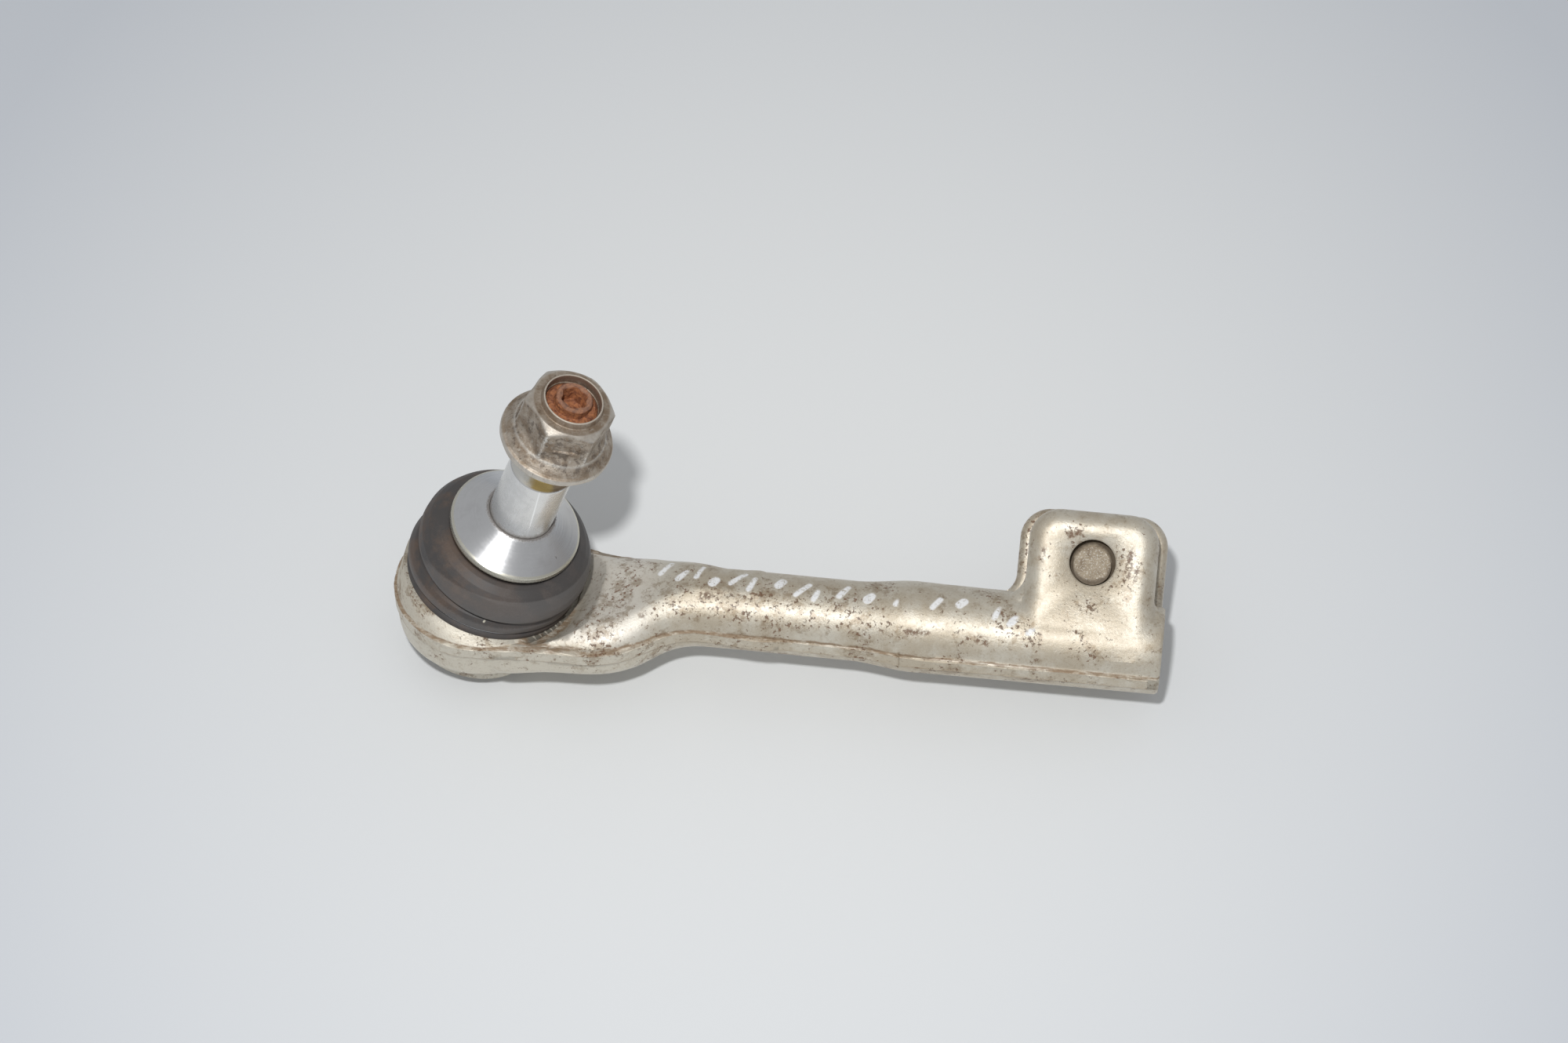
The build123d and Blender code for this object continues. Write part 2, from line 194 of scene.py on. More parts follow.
def rounded(corners, step):
    """A line through corners (r, h, radius), each corner cut by a parabola of about that radius,
    then divided so that no piece is longer than step."""
    p = np.array([c[:2] for c in corners], float)
    line = [p[:1]]
    for k in range(1, len(p) - 1):
        a, b = p[k - 1] - p[k], p[k + 1] - p[k]
        la, lb = np.linalg.norm(a), np.linalg.norm(b)
        half = 0.5 * np.arccos(np.clip(a @ b / la / lb, -1, 1))
        cut = min(corners[k][2] / max(np.tan(half), 1e-6), 0.49 * la, 0.49 * lb)
        if cut < 1e-4:
            line.append(p[k : k + 1])
            continue
        s = np.linspace(0, 1, 7)[:, None]
        start, end = p[k] + a / la * cut, p[k] + b / lb * cut
        line.append((1 - s) ** 2 * start + 2 * s * (1 - s) * p[k] + s**2 * end)
    line = np.vstack(line + [p[-1:]])
    length = run_along(line)
    keep = np.r_[True, np.diff(length) > 1e-6]
    line, length = line[keep], length[keep]
    even = np.linspace(0, length[-1], int(length[-1] / step) + 2)
    s = np.unique(np.round(np.r_[length, even], 5))
    s = s[np.r_[True, np.diff(s) > 0.02]]
    return np.stack([np.interp(s, length, line[:, 0]), np.interp(s, length, line[:, 1])], 1)


def ripple(x, y, seed, count=9, low=0.3, high=2.0):
    """A smooth random field: a sum of count sine waves with random directions and phases."""
    draw = np.random.default_rng(seed)
    size = draw.uniform(low, high, count)
    way, phase = draw.uniform(0, TURN, (2, count))
    total = np.zeros(np.broadcast(x, y).shape)
    for k in range(count):
        total += np.sin(size[k] * (x * np.cos(way[k]) + y * np.sin(way[k])) + phase[k])
    return total / np.sqrt(count)


def merge(mesh, gap, outwards):
    """Joins the mesh's points that are closer than gap, in metres."""
    work = bmesh.new()
    work.from_mesh(mesh)
    bmesh.ops.remove_doubles(work, verts=work.verts, dist=gap)
    if outwards:
        bmesh.ops.recalc_face_normals(work, faces=work.faces)
    work.to_mesh(mesh)
    work.free()


def skin(name, grid, finish, wrap_rows=False, wrap_columns=True, sharp=38, keep=None):
    """Mesh of a grid of points in metres, rows by columns, with equal points merged at its poles.

    wrap_rows and wrap_columns close the grid on itself, and keep leaves out faces where it is False.
    """
    rows, columns = grid.shape[:2]
    index = np.arange(rows * columns).reshape(rows, columns)
    below = index if wrap_rows else index[:-1]
    above = np.roll(index, -1, 0) if wrap_rows else index[1:]
    if wrap_columns:
        quads = [below, np.roll(below, -1, 1), np.roll(above, -1, 1), above]
    else:
        quads = [below[:, :-1], below[:, 1:], above[:, 1:], above[:, :-1]]
    quads = np.stack(quads, -1).reshape(-1, 4)
    if keep is not None:
        quads = quads[keep.reshape(-1)]
    mesh = bpy.data.meshes.new(name)
    mesh.from_pydata(grid.reshape(-1, 3).tolist(), [], quads.tolist())
    merge(mesh, 2e-7, True)
    mesh.shade_smooth()
    mesh.set_sharp_from_angle(angle=np.radians(sharp))
    piece = bpy.data.objects.new(name, mesh)
    bpy.context.scene.collection.objects.link(piece)
    mesh.materials.append(finish)
    return piece


def around(columns):
    """One whole turn as a row of angles."""
    return (np.arange(columns) * TURN / columns)[None, :]


def ring(wide, high, angle):
    """Points at radius wide and height high, at each angle about the z axis."""
    return np.stack([wide * np.cos(angle), wide * np.sin(angle), high + 0 * angle], -1)


def turned(line, place, columns=144, radius=None):
    """Surface of revolution: each point (r, h) of the line is carried round the place's z axis.
    radius(r, h, angle) may change r over the surface."""
    angle = around(columns)
    r, h = line[:, :1], line[:, 1:]
    return place.put(ring(radius(r, h, angle) if radius else r, h, angle))


def through(points, step):
    """A smooth line through points (Catmull-Rom), divided at about every step."""
    p = np.array(points, float)
    p = np.vstack([2 * p[0] - p[1], p, 2 * p[-1] - p[-2]])
    t = np.linspace(0, 1, 16, endpoint=False)[:, None]
    line = []
    for a, b, c, d in zip(p[:-3], p[1:-2], p[2:-1], p[3:]):
        line.append(b + 0.5 * t * (c - a + t * (2 * a - 5 * b + 4 * c - d + t * (3 * (b - c) + d - a))))
    line = np.vstack(line + [p[-2:-1]])
    length = run_along(line)
    even = np.linspace(0, length[-1], int(length[-1] / step) + 1)
    return np.stack([np.interp(even, length, line[:, k]) for k in (0, 1)], 1), even


def thread_wave(h, angle, pitch):
    """0 at the root and 1 at the crest of a thread that climbs by pitch each turn."""
    phase = np.mod(h / pitch - angle / TURN, 1)
    return np.clip((np.abs(2 * phase - 1) - 0.22) / 0.64, 0, 1)


class Wire:
    """A shader socket that takes part in sums, so that an expression adds its Math nodes."""

    def __init__(self, finish, socket):
        self.finish, self.socket = finish, socket

    def maths(self, operation, *values):
        return self.finish.node("ShaderNodeMath", {"operation": operation}, dict(enumerate(values)))

    def __add__(self, other):
        return self.maths("ADD", self, other)

    def __sub__(self, other):
        return self.maths("SUBTRACT", self, other)

    def __rsub__(self, other):
        return self.maths("SUBTRACT", other, self)

    def __mul__(self, other):
        return self.maths("MULTIPLY", self, other)

    def __pow__(self, other):
        return self.maths("POWER", self, other)

    def __abs__(self):
        return self.maths("ABSOLUTE", self)

    __radd__, __rmul__ = __add__, __mul__

    def most(self, other):
        return self.maths("MAXIMUM", self, other)

    def least(self, other):
        return self.maths("MINIMUM", self, other)

    def step(self, low, high):
        """S curve from 0 at low to 1 at high."""
        sockets = {0: self, 1: low, 2: high}
        return self.finish.node("ShaderNodeMapRange", {"interpolation_type": "SMOOTHSTEP"}, sockets)


def titled(word):
    """The shader's own name of a socket, such as Base Color for base_color."""
    return word.replace("_", " ").title().replace("Ior", "IOR")


class Finish:
    """A material made of one Principled shader and the nodes that its expressions add."""

    def __init__(self, name, **constants):
        self.material = bpy.data.materials.new(name)
        self.material.use_nodes = True
        self.tree = self.material.node_tree
        self.shader = self.tree.nodes["Principled BSDF"]
        for socket, value in constants.items():
            self.shader.inputs[titled(socket)].default_value = value
        self.place = self.node("ShaderNodeTexCoord", {}, {}, "Object")

    def node(self, kind, settings, sockets, output=0):
        """One node: its settings first, then a value or a link for each named or numbered socket."""
        made = self.tree.nodes.new(kind)
        for key, value in settings.items():
            setattr(made, key, value)
        for key, value in sockets.items():
            target = made.inputs[key]
            if isinstance(value, Wire):
                self.tree.links.new(value.socket, target)
            else:
                target.default_value = (*value, 1) if target.type == "RGBA" else value
        return Wire(self, made.outputs[output])

    def feed(self, **sockets):
        """Links the shader's sockets, such as base_color or normal."""
        for socket, wire in sockets.items():
            self.tree.links.new(wire.socket, self.shader.inputs[titled(socket)])
        return self.material

    def local(self, place, scale=(1.0, 1.0, 1.0)):
        """Object coordinates in a drawing's own axes, in millimetres."""
        sockets = {
            "Vector": self.place,
            "Location": tuple(place.origin * MM),
            "Rotation": place.turn(),
            "Scale": tuple(MM / s for s in scale),
        }
        return self.node("ShaderNodeMapping", {"vector_type": "TEXTURE"}, sockets)

    def parts(self, vector):
        """The x, y and z of a vector."""
        made = self.node("ShaderNodeSeparateXYZ", {}, {0: vector}).socket.node
        return [Wire(self, out) for out in made.outputs]

    def vector(self, x, y, z):
        return self.node("ShaderNodeCombineXYZ", {}, {0: x, 1: y, 2: z})

    def span(self, x, y):
        """Length of the vector (x, y)."""
        return (x * x + y * y) ** 0.5

    def noise(self, vector, scale, detail, rough, bend=0.0):
        """Cloudy noise about 0.5, of scale lumps to each unit of the vector."""
        sockets = {"Vector": vector, "Scale": scale, "Detail": detail, "Roughness": rough}
        return self.node("ShaderNodeTexNoise", {}, {**sockets, "Distortion": bend}, "Fac")

    def blend(self, mask, under, over):
        """Colour under where mask is 0 and over where it is 1."""
        sockets = {0: mask, 6: under, 7: over}
        return self.node("ShaderNodeMix", {"data_type": "RGBA"}, sockets, 2)

    def bump(self, height, depth, strength):
        """A normal from a height field of 0 to 1 that is depth millimetres deep."""
        sockets = {"Height": height, "Distance": depth * MM, "Strength": strength}
        return self.node("ShaderNodeBump", {}, sockets)

    def between(self, operation, *vectors, output=0):
        """One Vector Math node."""
        sockets = dict(enumerate(vectors))
        return self.node("ShaderNodeVectorMath", {"operation": operation}, sockets, output)

    def dab(self, vector, centre, way, length, width, edge):
        """Mask of a short stroke: 1 within width of a line of that length through centre."""
        off = self.between("SUBTRACT", vector, centre)
        run = self.between("DOT_PRODUCT", off, tuple(unit(way)), output="Value")
        far = self.between("LENGTH", off, output="Value")
        side = (far * far - run * run).most(0.0)
        past = (abs(run) - length / 2).most(0.0)
        return ((side + past * past) ** 0.5).step(width + edge, width - edge)


def colour(name, words, default):
    """A colour that a user may change."""
    return bpy.props.FloatVectorProperty(
        name=name, description=words, default=default, size=3, subtype="COLOR", min=0, max=1
    )


def shade(tint, *factors):
    """A colour times one factor, or times three."""
    return tuple((np.array(tint) * factors).tolist())


def number(name, words, default, low, high):
    """A number that a user may change, between low and high."""
    return bpy.props.FloatProperty(name=name, description=words, default=default, min=low, max=high)


class ForgingSettings(bpy.types.PropertyGroup):
    """Colours and thread of the forging"""

    plating: colour("Plating", "Colour of the clean plated forging", (0.63, 0.585, 0.49))
    stain: colour("Stain", "Colour of the thin brown film over the plating", (0.40, 0.315, 0.20))
    rust: colour("Rust", "Colour of the rust specks", (0.17, 0.085, 0.04))
    paint: colour("Paint", "Colour of the marker dabs", (0.86, 0.87, 0.88))
    speckle: number("Speckle", "How much of the surface carries rust specks", 0.5, 0, 1)
    pitch: number("Bore pitch", "Pitch of the bore's thread, mm", 1.5, 0.5, 3)


class StudSettings(bpy.types.PropertyGroup):
    """Colours and thread of the stud, collar and nut"""

    steel: colour("Steel", "Colour of the ground seat", (0.80, 0.79, 0.77))
    rust: colour("Tip rust", "Colour of the rust on the tip", (0.43, 0.17, 0.07))
    aluminium: colour("Aluminium", "Colour of the turned collar", (0.72, 0.725, 0.73))
    nut: colour("Nut", "Colour of the tarnished nut", (0.47, 0.41, 0.34))
    pitch: number("Thread pitch", "Pitch of the stud's thread, mm", 1.5, 0.5, 3)
    nut_turn: number("Nut turn", "Turn of the hexagon about the stud, degrees", 9.5, 0, 60)


class BootSettings(bpy.types.PropertyGroup):
    """Colours of the boot"""

    rubber: colour("Rubber", "Colour of the boot", (0.055, 0.050, 0.048))
    dust: colour("Brown film", "Colour of the brown film on the boot", (0.10, 0.065, 0.045))


class StageSettings(bpy.types.PropertyGroup):
    """Table and lights"""

    floor: colour("Floor", "Colour of the table", (0.74, 0.755, 0.765))
    lamp: number("Key light", "Power of the light above the camera, W", 6.6, 0, 50)
    room: number("Room light", "Strength of the even light around", 0.44, 0, 2)


SETTINGS = {
    "tie_forging": ForgingSettings,
    "tie_stud": StudSettings,
    "tie_boot": BootSettings,
    "tie_stage": StageSettings,
}


def dress(node, finish):
    """Gives a CAD node its finish."""
    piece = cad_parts[node]
    piece.data.materials.clear()
    piece.data.materials.append(finish)
    return piece


# Rust marks: place and direction in the part, length, width, mm
RUST_MARKS = (
    ((-64.2, -7.8, 9.1), (1.0, 0.1, 0.0), 2.2, 0.9), ((-61.0, -7.9, 9.3), (1.0, 0.1, 0.0), 1.4, 0.6),
    ((-46.1, -8.1, 8.7), (1.0, -0.4, 0.0), 2.4, 1.1), ((-135.3, -10.1, 7.6), (1.0, 0.0, 0.2), 0.9, 0.9),
    ((-118.0, -3.0, 10.0), (1.0, 0.2, 0.0), 4.0, 1.0), ((-24.8, 17.2, 24.9), (0.9, 0.3, 0.3), 2.0, 1.0),
    ((-9.8, 11.7, 21.2), (0.1, 0.7, 0.7), 6.5, 0.9), ((-8.2, 9.0, 18.6), (0.2, 0.6, 0.7), 5.0, 0.7),
    ((-34.0, 17.5, 25.6), (0.2, 0.7, 0.7), 1.1, 0.5), ((-32.6, 12.0, 21.5), (0.2, 0.7, 0.7), 2.6, 0.7),
)

# Marker dabs along the top of the shank and the tube: place in the part, length, width, mm
MARKER_DABS = (
    ((-131.0, 5.4, 7.9), 4.6, 0.78), ((-126.2, 2.6, 9.3), 3.0, 0.98),
    ((-121.8, 4.0, 9.6), 4.4, 0.72), ((-117.6, 1.0, 10.3), 1.4, 1.23),
    ((-111.5, 3.0, 9.9), 5.4, 0.75), ((-107.6, 1.4, 10.3), 4.0, 0.78),
    ((-100.2, 2.6, 10.1), 1.8, 1.17), ((-94.2, 1.2, 10.4), 5.0, 0.72),
    ((-90.6, -0.4, 10.5), 3.2, 0.78), ((-83.4, 1.8, 10.2), 4.2, 0.85),
    ((-76.4, 0.4, 10.5), 1.4, 1.30), ((-68.6, 1.0, 10.7), 5.0, 0.72),
    ((-58.8, 0.0, 11.9), 3.4, 0.78), ((-52.2, 0.9, 11.9), 1.6, 1.17),
    ((-43.0, -1.5, 11.7), 5.0, 0.78), ((-38.6, -3.0, 11.4), 3.6, 0.98),
    ((-33.8, -5.2, 10.6), 4.4, 0.78),
)


def forged_finish(values):
    """Pale plated forging: brown film, rust specks, dirt along the trimmed flash, worn marker dabs."""
    f = Finish("forged_steel", roughness=0.5, coat_weight=0.40, coat_roughness=0.33)
    p = f.local(FORGING)
    x, y, z = f.parts(p)
    broad = f.noise(p, 0.055, 3, 0.5)
    cloud = f.noise(p, 0.20, 5, 0.62)
    patch = f.noise(p, 0.55, 6, 0.66, 0.4)
    fine = f.noise(p, 1.7, 4, 0.62)
    grain = f.noise(p, 5.5, 3, 0.6)

    film = (broad * 0.55 + cloud * 0.60 + fine * 0.22 + x.step(45.0, 62.0) * 0.16).step(0.66, 0.94)
    base = f.blend(film * 0.55, values.plating, values.stain)
    web = x.step(8.0, 20.0) * x.step(50.0, 40.0) * z.step(1.5, 4.0)
    base = f.blend(web * 0.55, base, (0.80, 0.76, 0.69))
    base = f.blend(patch.step(0.53, 0.66) * 0.34, base, (0.36, 0.28, 0.185))
    base = f.blend(grain.step(0.40, 0.75) * 0.22, base, (0.80, 0.78, 0.72))

    low = f.noise(f.local(FORGING, (0.30, 1.0, 1.0)), 0.9, 5, 0.68)
    wave = (f.noise(f.vector(x * 0.18, y * 0.18, 0.0), 1.0, 3, 0.6) - 0.5) * 1.5
    line = abs(z + wave - 1.65).step(0.62, 0.12)
    line = line.most(abs(z + wave * 0.4 + 2.35).step(0.50, 0.10) * 0.7)
    trim = line * y.step(-6.0, -8.5).most(x.step(-12.0, -20.0)).most(y.step(9.0, 10.2))
    base = f.blend(trim * low.step(0.30, 0.54) * 0.85, base, DIRT)

    where = f.noise(p, 0.085, 2, 0.5).step(0.44, 0.66)
    spots = f.noise(p, 0.85, 6, 0.68)
    ridge = x.step(36.0, 50.0) * x.step(122.0, 100.0) * z.step(3.0, 6.5) * y.step(4.0, -1.0)
    where = where.most(ridge * 0.75)
    rust = (spots + where * (0.20 * values.speckle)).step(0.635, 0.70)
    soil = (f.noise(p, 0.35, 6, 0.7) + where * 0.13).step(0.57, 0.72)
    base = f.blend(soil * 0.58, base, (0.27, 0.19, 0.11))
    pits = (f.noise(p, 2.4, 3, 0.6) + where * 0.045).step(0.70, 0.75)
    for spot, way, length, width in RUST_MARKS:
        mark = f.dab(p, FORGING.inside(spot), FORGING.rows @ way, length, width, 0.7)
        rust = rust.most(mark * spots.step(0.44, 0.56))
    base = f.blend(rust * 0.85, base, values.rust)
    base = f.blend(pits * 0.75, base, (0.13, 0.08, 0.05))

    paint = 0.0
    for k, (spot, length, width) in enumerate(MARKER_DABS):
        slant = (0.50 + 0.25 * np.sin(2.1 * k), 0.8, -0.15 + 0.1 * np.cos(k))
        paint = f.dab(p, FORGING.inside(spot), slant, length, width, 0.28).most(paint)
    worn = (fine * 0.7 + patch * 0.5).step(0.44, 0.60)
    paint = paint * worn * 0.9
    base = f.blend(paint, base, values.paint)

    rough = 0.36 + cloud * 0.14 + fine * 0.12 + rust * 0.25 + trim * 0.12 + paint * 0.1
    height = cloud * 0.35 + patch * 0.25 + fine * 0.35 + grain * 0.25 - rust * 0.30 - pits * 0.3
    normal = f.bump(height + paint * 0.15, 0.22, 0.8)
    metal = (0.62 - rust * 0.4 - web * 0.22) * (1.0 - paint) * (1.0 - trim * 0.5)
    return f.feed(base_color=base, roughness=rough, metallic=metal, normal=normal)


def trim_surface():
    """The sheared band left where the flash was trimmed off, as a closed strip on the parting line.

    Round the nose the line is the ellipse (24.2 cos t, 24.0 sin t), and elsewhere it runs smoothly
    through the drawing's points.  Across the band the outward height is
    0.33 + 0.24 exp(-((z - top) / 0.22)^2) + 0.15 exp(-((z - low) / 0.20)^2) with top and low waving
    along the line, and both its edges and its back lie inside the forging.
    """
    t = np.radians(np.linspace(50, 284, 24))
    nose = np.stack([24.2 * np.cos(t), 24.0 * np.sin(t)], 1)
    tube = np.array(TUBE_LINE)
    path, run = through(np.vstack([tube[::-1], BACK_LINE, nose, FRONT_LINE, tube * (1, -1)]), 0.45)
    way = np.gradient(path, axis=0)
    way /= np.linalg.norm(way, axis=1)[:, None]
    out = np.stack([way[:, 1], -way[:, 0]], 1)
    v = np.linspace(0, 1, 25)[None, :]
    s = run[:, None]
    top = 1.30 + 0.30 * ripple(s * 0.30, 0 * s, 3, 7, 0.3, 1.6) + 0.08 * ripple(s * 1.3, 0 * s, 5)
    low = -2.20 + 0.10 * ripple(s * 0.4, 0 * s, 7, 7, 0.3, 1.4) + 0.05 * ripple(s * 1.5, 0 * s, 9)
    z = (low - 0.45) + (top - low + 0.9) * v
    lift = 0.33 + 0.24 * np.exp(-(((z - top) / 0.22) ** 2)) + 0.15 * np.exp(-(((z - low) / 0.20) ** 2))
    lift = lift + 0.04 * ripple(s * 1.8, z * 2.5, 13, 14, 0.6, 2.5)
    edge = np.minimum(smooth_step(v, 0.0, 0.12), smooth_step(1 - v, 0.0, 0.12))
    ends = np.minimum(smooth_step(s, 0.3, 2.0), smooth_step(run[-1] - s, 0.3, 2.0))
    lift = -1.2 + (1.2 + lift) * edge * ends
    across = np.concatenate([lift, np.full_like(lift, -1.5)], 1)
    height = np.concatenate([z, z[:, ::-1]], 1)
    flat = path[:, None] + out[:, None] * across[..., None]
    grid = FORGING.put(np.concatenate([flat, height[..., None]], 2))
    grid[[0, -1]] = grid[[0, -1]].mean(1, keepdims=True)
    return np.clip(grid, *np.array(cad_box))


def swell_surface():
    """Round shank that swells smoothly into the tube: a ring r(x) about the bore's axis.

    r is the shank's from x = 67, climbs by an S curve from x = 98 to the tube's at x = 114.5, and
    then follows the tube's taper; both ends dip into the forging, and its back lies inside.
    """
    x = np.arange(60.0, 127.0, 0.35)
    taper = 0.0061 * np.maximum(x - 113.0, 0)
    top = SHANK_R + (TUBE_R - SHANK_R) * smooth_step(x, 98.0, 114.5) - taper
    top = top - 0.22 * (1 - smooth_step(x, 60.0, 67.0)) - 0.2 * smooth_step(x, 115.0, 126.9)
    wide = np.concatenate([top, np.full(len(x), 9.2)])[:, None]
    along = (np.concatenate([x, x[::-1]]) - REACH)[:, None]
    return BORE.put(ring(wide, along, around(180)))


def dish_surface():
    """Cutter that lowers the web's top beside the boot, as a closed block.

    Its underside is z = 4.75 + 0.055 (x - 13) + 0.012 (x - 22)^2 - 3.6 exp(-(d / 5.5)^2), with the
    square only beyond x = 22, where d is how far the point lies outside the seat's recess: the cut
    runs out smoothly on the web, and stops just above the seat.
    """
    x, y = np.meshgrid(np.linspace(2.0, 46.0, 89), np.linspace(-30.0, 30.0, 121), indexing="ij")
    lean = np.radians(HOUSING_LEAN)
    far = np.hypot(x * np.cos(lean) - 4.0 * np.sin(lean), y)
    d = np.maximum(far - 24.0, 0)
    z = 4.75 + 0.055 * (x - 13.0) + 0.012 * np.maximum(x - 22.0, 0) ** 2
    z = z - 3.6 * np.exp(-((d / 5.5) ** 2))
    seat = 5.0 / np.cos(lean) - x * np.tan(lean)
    z = soft_max(z, seat + 0.06, 0.3)
    floor = np.stack([x, y, z], -1)
    lid = floor * (1, 1, 0) + (0, 0, 30.0)
    ends = np.concatenate([floor[[0, -1]], floor[[0, -1], ::-1]], 1)
    loops = np.concatenate([floor, lid[:, ::-1]], 1)
    return FORGING.put(np.concatenate([ends[:1], loops, ends[1:]]))


def carved(node, name, cutter):
    """A merged copy of a CAD node with the cutter's body taken away."""
    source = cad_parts[node]
    mesh = source.data.copy()
    mesh.transform(source.matrix_world)
    mesh.materials.clear()
    piece = bpy.data.objects.new(name, mesh)
    bpy.context.scene.collection.objects.link(piece)
    merge(mesh, 1e-8, False)
    cut = piece.modifiers.new("cut", "BOOLEAN")
    cut.operation, cut.solver, cut.object = "DIFFERENCE", "EXACT", cutter
    bpy.context.view_layer.update()
    cut_piece = piece.evaluated_get(bpy.context.evaluated_depsgraph_get())
    result = bpy.data.meshes.new_from_object(cut_piece)
    piece.modifiers.clear()
    piece.data = result
    result.name = name
    result.shade_smooth()
    result.set_sharp_from_angle(angle=np.radians(33))
    bpy.data.objects.remove(cutter)
    return piece


def bore_surface(pitch):
    """Thread of the bore as a closed skin: r = root - mask (0.23 + 0.8 wave(x / pitch - angle)).

    The mask falls to 0 at both ends and inside the clamp's slot, where the two sides meet.
    """
    a, s = np.meshgrid(around(120), np.arange(0.0, 62.4, 0.25))
    turn = np.mod(a - np.radians(LUG_ROLL) + np.pi, TURN) - np.pi
    gap = np.arcsin((SLOT_HALF + 0.1) / 8.0)
    mask = smooth_step(np.abs(turn) - gap, 0.0, 0.12)
    mask = np.maximum(mask, smooth_step(s, SLOT_DEPTH + 0.3, SLOT_DEPTH + 1.5))
    mask = mask * smooth_step(s, 0.6, 2.2) * (1 - smooth_step(s, 60.0, 62.0))
    crest = thread_wave(s, a, pitch)
    inner = THREAD_ROOT_R - mask * (0.23 + 0.80 * crest)
    outer = np.full_like(inner, THREAD_ROOT_R)
    wide, along = np.vstack([inner, outer[::-1]]), np.vstack([s, s[::-1]])
    grid = BORE.put(ring(wide, -along, around(120)))
    solid = np.vstack([mask, mask[::-1]]) > 0
    solid = solid | np.roll(solid, -1, 0)
    return grid, solid | np.roll(solid, -1, 1)


def thread_finish():
    """Cut thread: greyer and duller than the outside, with a little grease at its roots."""
    f = Finish("bore_steel", metallic=0.8, roughness=0.42)
    p = f.local(FORGING)
    _, y, z = f.parts(p)
    cloud = f.noise(p, 0.4, 4, 0.6)
    fine = f.noise(p, 2.0, 4, 0.6)
    deep = f.span(y, z).step(7.4, 7.9)
    base = f.blend(cloud.step(0.42, 0.72), (0.50, 0.46, 0.38), (0.36, 0.30, 0.22))
    base = f.blend(deep * 0.6, base, (0.14, 0.11, 0.08))
    normal = f.bump(fine, 0.04, 0.6)
    return f.feed(base_color=base, roughness=0.36 + cloud * 0.2, normal=normal)


class TIEROD_OT_forging(bpy.types.Operator):
    """Finishes the forged housing and clamp tube, adds the trimmed flash and the bore's thread"""

    bl_idname = "tierod.forging"
    bl_label = "Forged housing"

    def execute(self, context):
        values = context.scene.tie_forging
        finish = forged_finish(values)
        cutter = skin("seat_cutter", dish_surface(), finish)
        body = carved("housing", "forged_housing", cutter)
        body.data.materials.clear()
        body.data.materials.append(finish)
        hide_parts("housing")
        swell = skin("tube_swell", swell_surface(), finish, wrap_rows=True)
        trim = skin("flash_trim", trim_surface(), finish, sharp=50)
        grid, keep = bore_surface(values.pitch)
        thread = skin("bore_thread", grid, thread_finish(), wrap_rows=True, sharp=40, keep=keep)
        for piece in (body, swell, trim, thread):
            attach(piece, "housing")
        return {"FINISHED"}


def arc(r, low, high, step):
    """Points (r, h) of a circle about the origin between two angles above the level, degrees."""
    a = np.radians(np.linspace(low, high, int((high - low) / step) + 2))
    return np.stack([r * np.cos(a), r * np.sin(a)], 1)


def stud_surface(pitch):
    """The stud as a surface of revolution of r(h, angle).

    The ball is a circle.  The thread is r = outside - 0.9 (1 - wave(h / pitch - angle)), faded
    out at both ends; the socket in the tip is r (1 - 0.13 (1 + cos 6 angle) / 2).
    """
    neck_h = np.sqrt(BALL_R**2 - NECK_R**2)
    foot, top = np.degrees(np.arcsin([-11.8 / BALL_R, neck_h / BALL_R]))
    shank = rounded(
        [
            (NECK_R, neck_h, 0), (NECK_R, 17.5, 1.5), (SEAT_R, 20.5, 1.0), (SEAT_R, 55.7, 0.5),
            (SEAT_R - 0.7, 56.6, 0.5), (SEAT_R - 1.5, 58.0, 0.9), (6.3, 60.0, 1.2),
            (6.3, 61.8, 0.8), (THREAD_R, 63.0, 0.3), (THREAD_R, 82.4, 0.3),
            (THREAD_R - 0.9, 83.2, 0.2), (4.7, 83.2, 0.35), (4.7, 85.7, 0.3), (4.3, 86.2, 0.2),
            (3.75, 86.2, 0.25), (3.4, 85.6, 0.2), (3.2, 81.3, 0.3), (0.0, 80.9, 0),
        ],
        0.16,
    )
    line = np.vstack([[[0, -11.8]], arc(BALL_R, foot, top, 2.0)[:-1], shank])

    def radius(r, h, angle):
        fade = smooth_step(h, 62.9, 64.4) * (1 - smooth_step(h, 81.4, 82.6)) * (r > 6.0)
        cut = 0.9 * (1 - thread_wave(h, angle, pitch)) * fade
        inside = (h > 80.5) * smooth_step(r, 1.0, 3.0) * (r < 3.6)
        rust = 0.07 * ripple(h * 2.0, angle * 5.0, 11, 12, 0.7, 2.4) * smooth_step(h, 83.0, 83.6)
        return r - cut - inside * r * 0.13 * (0.5 + 0.5 * np.cos(6 * angle)) + rust * (r > 3.0)

    return turned(line, STUD, radius=radius)


